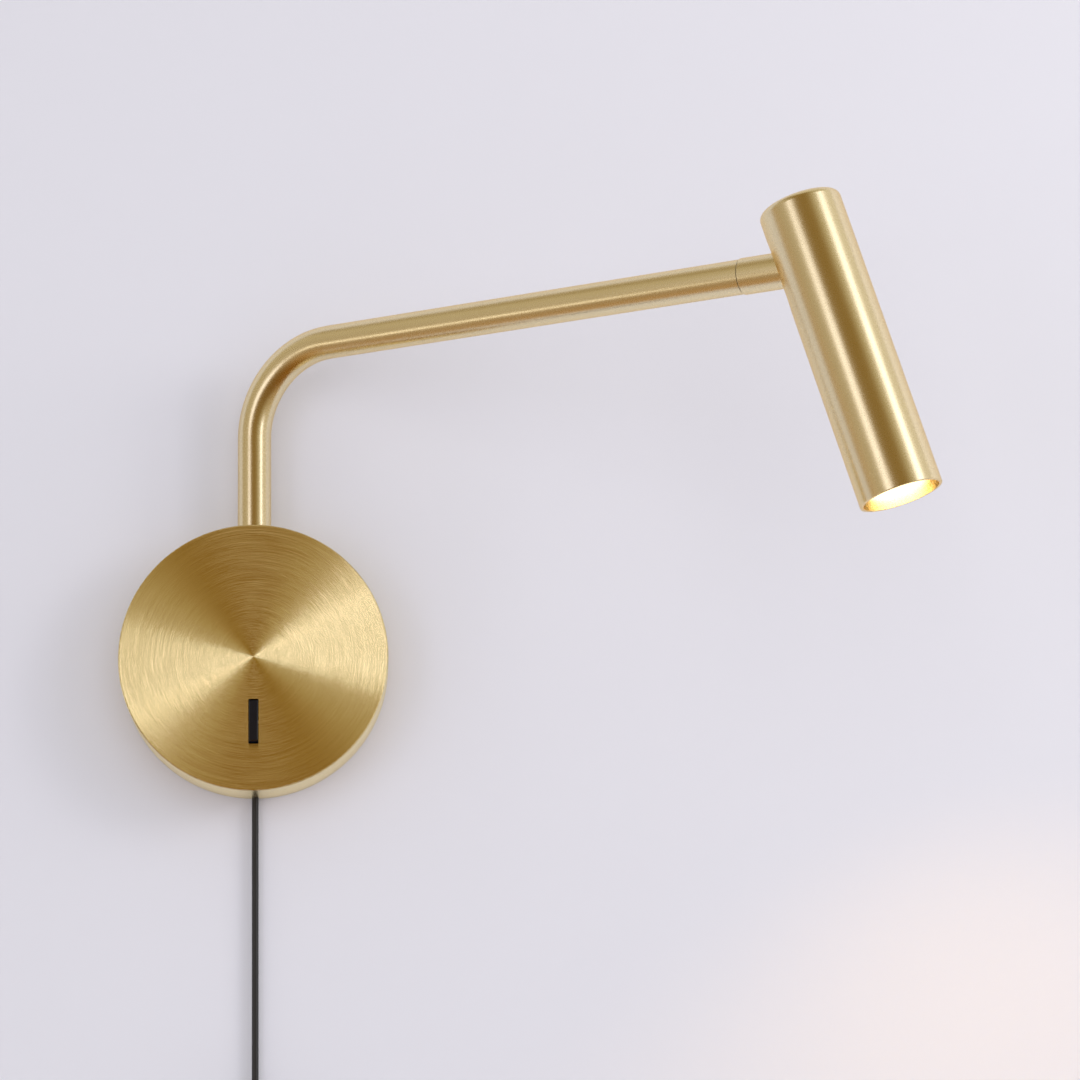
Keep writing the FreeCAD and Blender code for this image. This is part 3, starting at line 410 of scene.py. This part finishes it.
def makeGroup(name, inputs, outputs):
    tree = bpy.data.node_groups.new(name, "ShaderNodeTree")
    for label, value in inputs.items():
        socket = tree.interface.new_socket(label, in_out="INPUT", socket_type="NodeSocketFloat")
        socket.default_value = value
    for label in outputs:
        tree.interface.new_socket(label, in_out="OUTPUT", socket_type="NodeSocketFloat")
    return tree, tree.nodes.new("NodeGroupInput"), tree.nodes.new("NodeGroupOutput")


grainPlan = {
    "fine": {"Detail": 2.0, "Roughness": 0.6},
    "marks": {"Scale": 45.0, "Detail": 4.0, "Roughness": 0.55, "Distortion": 0.4},
    "shade": 0.25,  # how much the grain changes the colour
}


def buildFineGrain(plan):
    # fine grain with faint handling marks: a roughness, a height and a shade near 1
    tree, given, result = makeGroup(
        "fineGrain",
        {"Size": 0.0004, "Roughness": 0.3, "Spread": 0.1, "Marks": 0.1},
        ("Roughness", "Height", "Shade"),
    )
    place = onObject(tree)
    fineScale = calculate(tree, "DIVIDE", 1.0, given.outputs["Size"])
    fine = addNode(tree, "ShaderNodeTexNoise", plan["fine"])
    marks = addNode(tree, "ShaderNodeTexNoise", plan["marks"])
    link(tree, place, fine.inputs["Vector"])
    link(tree, place, marks.inputs["Vector"])
    link(tree, fineScale, fine.inputs["Scale"])
    offsets = []
    for noise, amount in ((fine, "Spread"), (marks, "Marks")):
        centred = calculate(tree, "SUBTRACT", noise.outputs["Fac"], 0.5)
        offsets.append(calculate(tree, "MULTIPLY", centred, given.outputs[amount]))
    rough = calculate(tree, "ADD", given.outputs["Roughness"], calculate(tree, "ADD", *offsets))
    link(tree, rough, result.inputs["Roughness"])
    link(tree, fine.outputs["Fac"], result.inputs["Height"])
    link(tree, scaleAndAdd(tree, offsets[0], plan["shade"], 1.0), result.inputs["Shade"])
    return tree


fineGrain = buildFineGrain(grainPlan)


def dress(name, base, grain, bump, **settings):
    # material with the grain group on its roughness, colour and bump
    material, tree, shader = newMaterial(name, base, **settings)
    group = addNode(tree, "ShaderNodeGroup", node_tree=fineGrain)
    for label, value in grain.items():
        group.inputs[label].default_value = value
    link(tree, group.outputs["Roughness"], shader.inputs["Roughness"])
    shaded = mixColours(tree, 1.0, (*base, 1), group.outputs["Shade"], "MULTIPLY")
    link(tree, shaded, shader.inputs["Base Color"])
    if bump:
        height = addNode(tree, "ShaderNodeBump", {"Strength": 1.0, "Distance": bump})
        link(tree, group.outputs["Height"], height.inputs["Height"])
        link(tree, height.outputs["Normal"], shader.inputs["Normal"])
    return material, shader


# Brass of the tubes and the head, with a thin lacquer
satinPlan = {
    "base": (0.86, 0.745, 0.48),
    "grain": {"Size": 0.00045, "Roughness": 0.27, "Spread": 0.10, "Marks": 0.06},
    "bump": 0.0000035,
    "edgeTint": (0.93, 0.76, 0.52, 1),
    "lacquer": 0.15,
    "lacquerRoughness": 0.12,
}


def satinBrass(plan):
    material, shader = dress("satinBrass", plan["base"], plan["grain"], plan["bump"], Metallic=1.0)
    shader.inputs["Specular Tint"].default_value = plan["edgeTint"]
    shader.inputs["Coat Weight"].default_value = plan["lacquer"]
    shader.inputs["Coat Roughness"].default_value = plan["lacquerRoughness"]
    return material


# Brass of the drum: fine turned grooves round its axis, whose two flanks mirror what lies far to either side
turnedPlan = {
    "base": (0.97, 0.83, 0.47),
    "anisotropy": 0.7,
    "quarterTurn": 0.25,
    "lines": 5200.0,  # noise cells in a metre outwards
    "streaks": 0.5,  # noise cells in a radian round the axis
    "noise": {"Scale": 1.0, "Detail": 3.0, "Roughness": 0.65},
    "grooves": 38000.0,  # radians in a metre outwards, so a groove is 0.17 mm wide
    "wander": 40.0,  # radians by which the noise moves the grooves
    "slope": 0.42,
    "slopeSpread": 0.32,
    "straightness": 2.2,  # of a groove's flank
    "roughness": 0.235,
    "roughnessSpread": 0.10,
    "shadeSpread": 0.12,
}


def grooveNormal(tree, plan, tangent, along, offset):
    wander = calculate(tree, "MULTIPLY", offset, plan["wander"])
    phase = calculate(tree, "ADD", calculate(tree, "MULTIPLY", along, plan["grooves"]), wander)
    wave = calculate(tree, "MULTIPLY", calculate(tree, "SINE", phase), plan["straightness"])
    flank = calculate(tree, "MAXIMUM", calculate(tree, "MINIMUM", wave, 1.0), -1.0)
    slope = calculate(tree, "MULTIPLY", flank, scaleAndAdd(tree, offset, plan["slopeSpread"], plan["slope"]))
    normal = addNode(tree, "ShaderNodeNewGeometry").outputs["Normal"]
    outwards = calculateVector(tree, "CROSS_PRODUCT", normal, tangent)
    tilted = calculateVector(tree, "ADD", normal, calculateVector(tree, "SCALE", outwards, slope))
    unit = addNode(tree, "ShaderNodeVectorMath", operation="NORMALIZE")
    link(tree, tilted, unit.inputs[0])
    return unit.outputs[0]


def turnedBrass(plan):
    material, tree, shader = newMaterial("turnedBrass", plan["base"], Metallic=1.0)
    shader.inputs["Anisotropic"].default_value = plan["anisotropy"]
    shader.inputs["Anisotropic Rotation"].default_value = plan["quarterTurn"]
    tangent = addNode(tree, "ShaderNodeTangent", direction_type="RADIAL", axis="Y").outputs[0]
    link(tree, tangent, shader.inputs["Tangent"])
    split = addNode(tree, "ShaderNodeSeparateXYZ")
    link(tree, onObject(tree), split.inputs[0])
    x, y, z = split.outputs
    squares = calculate(tree, "ADD", calculate(tree, "MULTIPLY", x, x), calculate(tree, "MULTIPLY", z, z))
    along = calculate(tree, "ADD", calculate(tree, "SQRT", squares), y)
    around = calculate(tree, "ARCTAN2", z, x)
    place = addNode(tree, "ShaderNodeCombineXYZ")
    link(tree, calculate(tree, "MULTIPLY", along, plan["lines"]), place.inputs[0])
    link(tree, calculate(tree, "MULTIPLY", around, plan["streaks"]), place.inputs[1])
    lines = addNode(tree, "ShaderNodeTexNoise", plan["noise"])
    link(tree, place.outputs[0], lines.inputs["Vector"])
    offset = calculate(tree, "SUBTRACT", lines.outputs["Fac"], 0.5)
    link(tree, grooveNormal(tree, plan, tangent, along, offset), shader.inputs["Normal"])
    rough = scaleAndAdd(tree, offset, plan["roughnessSpread"], plan["roughness"])
    link(tree, rough, shader.inputs["Roughness"])
    shade = scaleAndAdd(tree, offset, plan["shadeSpread"], 1.0)
    shaded = mixColours(tree, 1.0, (*plan["base"], 1), shade, "MULTIPLY")
    link(tree, shaded, shader.inputs["Base Color"])
    return material


# Grain and bump of the plain metals and the plastics
metalPlan = {"grain": {"Size": 0.0006, "Spread": 0.12, "Marks": 0.1}, "bump": 0.000002}
plasticPlan = {"grain": {"Size": 0.0005, "Spread": 0.12, "Marks": 0.08}, "bump": 0.000003}


def simpleMetal(name, base, rough):
    grain = {"Roughness": rough, **metalPlan["grain"]}
    return dress(name, base, grain, metalPlan["bump"], Metallic=1.0)[0]


def plastic(name, base, rough, bump=plasticPlan["bump"]):
    return dress(name, base, {"Roughness": rough, **plasticPlan["grain"]}, bump)[0]


# Lit lens: a pattern of small facets, some of them yellow
lensPlan = {
    "base": (0.96, 0.93, 0.82),
    "roughness": 0.08,
    "glow": 5.0,
    "facets": {"Scale": 260.0, "Randomness": 0.55},
    "yellow": (1.0, 0.66, 0.14, 1),
    "white": (1.0, 0.95, 0.80, 1),
    "whiteFrom": 0.35,
}


def glowingLens(plan):
    material, tree, shader = newMaterial("litLens", plan["base"], Roughness=plan["roughness"])
    shader.inputs["Emission Strength"].default_value = plan["glow"]
    facets = addNode(tree, "ShaderNodeTexVoronoi", plan["facets"])
    link(tree, onObject(tree), facets.inputs["Vector"])
    glow = addNode(tree, "ShaderNodeValToRGB")
    yellow, white = glow.color_ramp.elements
    yellow.position, yellow.color = 0.0, plan["yellow"]
    white.position, white.color = plan["whiteFrom"], plan["white"]
    split = addNode(tree, "ShaderNodeSeparateColor")
    link(tree, facets.outputs["Color"], split.inputs[0])
    link(tree, split.outputs[0], glow.inputs["Fac"])
    link(tree, glow.outputs["Color"], shader.inputs["Emission Color"])
    return material


chipPlan = {
    "base": (0.9, 0.75, 0.2),
    "grain": {"Size": 0.0008, "Roughness": 0.6, "Spread": 0.1, "Marks": 0.1},
    "light": (1.0, 0.85, 0.5, 1),
    "glow": 3.0,
}


def glowingChip(plan):
    material, shader = dress("litChip", plan["base"], plan["grain"], 0.0)
    shader.inputs["Emission Color"].default_value = plan["light"]
    shader.inputs["Emission Strength"].default_value = plan["glow"]
    return material


finishes = {
    "brass_metal": satinBrass(satinPlan),
    "brass_turned": turnedBrass(turnedPlan),
    "steel": simpleMetal("platedSteel", (0.62, 0.62, 0.63), 0.3),
    "aluminium": simpleMetal("bareAluminium", (0.78, 0.79, 0.80), 0.34),
    "black_plastic": plastic("blackPlastic", (0.016, 0.016, 0.019), 0.32),
    "gloss_plastic": plastic("glossPlastic", (0.004, 0.006, 0.012), 0.12, 0.0),
    "white_plastic": plastic("whitePlastic", (0.82, 0.82, 0.80), 0.42),
    "board": plastic("circuitBoard", (0.03, 0.17, 0.07), 0.35),
    "cord_skin": plastic("cordSkin", (0.018, 0.018, 0.02), 0.38, 0.000006),
    "wire_skin": plastic("wireSkin", (0.45, 0.05, 0.03), 0.4),
    "lead_skin": plastic("leadSkin", (0.75, 0.75, 0.73), 0.45),
    "lens": glowingLens(lensPlan),
    "phosphor": glowingChip(chipPlan),
}
slotOf = {part["node"]: part["material_slot"] for part in frame["record"]["subparts"]}


def paint(piece, material):
    piece.data.materials.clear()
    piece.data.materials.append(material)


for name, node in nodes.items():
    paint(node, finishes[slotOf[name]])
for piece in (powerCord, plugBoot, tieStrap, tieEnd):
    paint(piece, finishes[piece["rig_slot"]])
print("materials done")

# Stage: the wall behind the lamp, a floor far below, and the room that the metal mirrors
stagePlan = {
    "wallHalfWidth": 1.9,
    "wallHalfHeight": 1.3,
    "wallHole": 0.058,  # behind the drum, so that its back is lit
    "wallSides": 64,  # of the hole
    "wallGap": 0.0004,
    "wallFade": (0.5, 0.8),
    "paint": (0.78, 0.765, 0.80),
    "paintRoughness": 0.9,
    "paintGloss": 0.1,
    "cloud": {"Scale": 3.2, "Detail": 5.0, "Roughness": 0.6},
    "cloudShade": (0.04, 0.98),
    "floor": -1.3,
    "floorForward": 1.2,
    "floorSize": 6,
    "floorFade": (1.2, 2.6),
    "floorPaint": (0.74, 0.72, 0.70),
    "floorRoughness": 0.8,
}


def fadeOut(tree, shader, near, far):
    # to the eye the surface is clear from behind, and fades out between two distances from its middle
    distance = addNode(tree, "ShaderNodeVectorMath", operation="LENGTH")
    link(tree, onObject(tree), distance.inputs[0])
    reach = {"From Min": near, "From Max": far}
    fade = addNode(tree, "ShaderNodeMapRange", reach, interpolation_type="SMOOTHSTEP")
    link(tree, distance.outputs["Value"], fade.inputs["Value"])
    eye = addNode(tree, "ShaderNodeLightPath").outputs["Is Camera Ray"]
    behind = addNode(tree, "ShaderNodeNewGeometry").outputs["Backfacing"]
    hidden = calculate(tree, "MAXIMUM", calculate(tree, "MULTIPLY", eye, fade.outputs[0]), behind)
    clear = addNode(tree, "ShaderNodeBsdfTransparent")
    both = addNode(tree, "ShaderNodeMixShader")
    link(tree, hidden, both.inputs[0])
    link(tree, shader.outputs[0], both.inputs[1])
    link(tree, clear.outputs[0], both.inputs[2])
    link(tree, both.outputs[0], tree.nodes["Material Output"].inputs["Surface"])


def wallMaterial(plan):
    material, tree, shader = newMaterial("wallPaint", plan["paint"], Roughness=plan["paintRoughness"])
    shader.inputs["Specular IOR Level"].default_value = plan["paintGloss"]
    cloud = addNode(tree, "ShaderNodeTexNoise", plan["cloud"])
    link(tree, onObject(tree), cloud.inputs["Vector"])
    shade = scaleAndAdd(tree, cloud.outputs["Fac"], *plan["cloudShade"])
    shaded = mixColours(tree, 1.0, (*plan["paint"], 1), shade, "MULTIPLY")
    link(tree, shaded, shader.inputs["Base Color"])
    fadeOut(tree, shader, *plan["wallFade"])
    return material


def addWall(plan):
    # a rectangle with a round hole in it
    count, gap = plan["wallSides"], plan["wallGap"]
    vertices = []
    for i in range(count):
        turn = 2 * math.pi * i / count
        x, z = math.cos(turn), math.sin(turn)
        square = max(abs(x), abs(z))
        vertices.append((plan["wallHole"] * x, gap, plan["wallHole"] * z))
        vertices.append((plan["wallHalfWidth"] * x / square, gap, plan["wallHalfHeight"] * z / square))
    faces = [(2 * i, 2 * i + 1, (2 * i + 3) % (2 * count), (2 * i + 2) % (2 * count)) for i in range(count)]
    data = bpy.data.meshes.new("wall")
    data.from_pydata(vertices, [], faces)
    if data.polygons[0].normal.y > 0:
        data.flip_normals()
    wall = bpy.data.objects.new("wall", data)
    scene.collection.objects.link(wall)
    wall.data.materials.append(wallMaterial(plan))


def addFloor(plan):
    middle = (0, -plan["floorForward"], plan["floor"])
    bpy.ops.mesh.primitive_plane_add(size=plan["floorSize"], location=middle)
    floor = bpy.context.object
    floor.name = "floor"
    material, tree, shader = newMaterial("floorPaint", plan["floorPaint"], Roughness=plan["floorRoughness"])
    fadeOut(tree, shader, *plan["floorFade"])
    floor.data.materials.append(material)
    floor.visible_glossy = False


addWall(stagePlan)
addFloor(stagePlan)

# Softboxes are placed by the direction in which the drum sees them: degrees right of straight out, and up
softboxes = {
    "rightWindow": {
        "turn": 52,
        "rise": 15,
        "away": 3.2,
        "size": (0.95, 2.3),
        "radiance": 1.68,
        "tint": (0.95, 0.985, 1.20),
    },
    "leftWindow": {
        "turn": -33,
        "rise": 0,
        "away": 3.2,
        "size": (0.95, 2.0),
        "radiance": 1.24,
        "tint": (0.97, 0.985, 1.20),
    },
    "lowLeftBox": {
        "turn": -58,
        "rise": -14,
        "away": 1.5,
        "size": (0.5, 0.26),
        "radiance": 1.2,
        "tint": (1, 0.98, 0.94),
    },
    "shadowBox": {
        "turn": 63,
        "rise": 14,
        "away": 1.8,
        "size": (0.6, 0.6),
        "radiance": 6.4,
        "tint": (1, 0.98, 0.98),
        "mirrored": False,
    },
    "frontFill": {
        "turn": 4,
        "rise": 8,
        "away": 2.2,
        "size": (1.6, 1.6),
        "radiance": 0.9,
        "tint": (1, 1, 1),
        "mirrored": False,
    },
}


def addSoftbox(name, plan):
    data = bpy.data.lights.new(name, "AREA")
    data.shape = "RECTANGLE"
    data.size, data.size_y = plan["size"]
    data.color = plan["tint"]
    data.energy = plan["radiance"] * math.pi * data.size * data.size_y
    lamp = bpy.data.objects.new(name, data)
    turn, rise = math.radians(plan["turn"]), math.radians(plan["rise"])
    out = Vector((math.sin(turn) * math.cos(rise), -math.cos(turn) * math.cos(rise), math.sin(rise)))
    lamp.location = out * plan["away"]
    lamp.rotation_euler = out.to_track_quat("Z", "Y").to_euler()
    lamp.visible_glossy = plan.get("mirrored", True)
    lamp.visible_camera = False
    scene.collection.objects.link(lamp)


for name, plan in softboxes.items():
    addSoftbox(name, plan)

# The lamp's own beam
beamPlan = {"watts": 2.4, "cone": 124, "tint": (1.0, 0.60, 0.16), "size": 0.012, "ahead": 0.003}


def headAxis():
    # middle of the lens's ring, and the way that the mouth faces
    lens = sum(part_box("lens_ring"), Vector()) / 2
    board = sum(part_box("led_board"), Vector()) / 2
    return lens, (lens - board).normalized()


def addBeam(plan):
    lens, down = headAxis()
    data = bpy.data.lights.new("lampBeam", "SPOT")
    data.energy = plan["watts"]
    data.spot_size = math.radians(plan["cone"])
    data.spot_blend = 1.0
    data.color = plan["tint"]
    data.shadow_soft_size = plan["size"]
    beam = bpy.data.objects.new("lampBeam", data)
    beam.location = lens + down * plan["ahead"]
    beam.rotation_euler = (-down).to_track_quat("Z", "Y").to_euler()
    scene.collection.objects.link(beam)
    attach(beam, "head")


addBeam(beamPlan)

# Room light: even for what it lights, pale for the eye, and a room with darker parts for the metal
roomPlan = {
    "ambient": (0.60, 0.60, 0.615, 1),
    "ceiling": (0.70, 0.63, 0.50, 1),
    "rear": (0.62, 0.61, 0.60, 1),  # behind the wall
    "background": (0.93, 0.93, 0.94, 1),
    "lean": 12,  # degrees by which the dark part of the room leans to the left
    "ceilingFrom": (50, 72),  # degrees up
    "rearFrom": (0.05, 0.15),  # how far a direction points into the wall
    "turns": (
        (-90, (0.56, 0.38, 0.20)),
        (-62, (0.50, 0.42, 0.28)),
        (-38, (0.56, 0.48, 0.33)),
        (-26, (0.36, 0.27, 0.12)),
        (-16, (0.265, 0.16, 0.03)),
        (15, (0.265, 0.16, 0.03)),
        (28, (0.49, 0.41, 0.23)),
        (60, (0.72, 0.67, 0.55)),
        (90, (0.72, 0.64, 0.54)),
    ),
    "rises": (
        (-90, (1.0, 0.78, 0.50)),
        (-62, (0.88, 0.60, 0.32)),
        (-38, (0.72, 0.58, 0.46)),
        (-18, (0.80, 0.72, 0.62)),
        (0, (0.88, 0.86, 0.84)),
        (35, (1.0, 1.0, 1.0)),
        (90, (0.88, 0.90, 0.92)),
    ),
}


def shareOf(tree, source, low, high):
    spread = addNode(tree, "ShaderNodeMapRange", {"From Min": low, "From Max": high})
    link(tree, source, spread.inputs["Value"])
    return spread.outputs[0]


def rampOf(tree, source, low, high, stops):
    ramp = addNode(tree, "ShaderNodeValToRGB")
    elements = ramp.color_ramp.elements
    for i, (at, colour) in enumerate(stops):
        place = (at - low) / (high - low)
        element = elements[i] if i < 2 else elements.new(place)
        element.position = place
        element.color = (*colour, 1)
    link(tree, shareOf(tree, source, low, high), ramp.inputs["Fac"])
    return ramp.outputs["Color"]


def addRoom(plan):
    world = bpy.data.worlds.new("room")
    world.use_nodes = True
    scene.world = world
    tree = world.node_tree
    way = addNode(tree, "ShaderNodeSeparateXYZ")
    link(tree, addNode(tree, "ShaderNodeTexCoord").outputs["Generated"], way.inputs[0])
    x, y, z = way.outputs
    lean = math.radians(plan["lean"])
    leaning = scaleAndAdd(tree, x, math.cos(lean), calculate(tree, "MULTIPLY", z, math.sin(lean)))
    turn = calculate(tree, "DEGREES", calculate(tree, "ARCSINE", leaning))
    rise = calculate(tree, "DEGREES", calculate(tree, "ARCSINE", z))
    around = rampOf(tree, turn, -90, 90, plan["turns"])
    upward = rampOf(tree, rise, -90, 90, plan["rises"])
    walls = mixColours(tree, 1.0, around, upward, "MULTIPLY")
    front = mixColours(tree, shareOf(tree, rise, *plan["ceilingFrom"]), walls, plan["ceiling"])
    mirrored = mixColours(tree, shareOf(tree, y, *plan["rearFrom"]), front, plan["rear"])
    path = addNode(tree, "ShaderNodeLightPath").outputs
    seen = calculate(tree, "MAXIMUM", path["Is Camera Ray"], path["Is Transmission Ray"])
    lit = mixColours(tree, path["Is Glossy Ray"], plan["ambient"], mirrored)
    shown = mixColours(tree, seen, lit, plan["background"])
    link(tree, shown, tree.nodes["Background"].inputs["Color"])


addRoom(roomPlan)
print("stage and lights done")
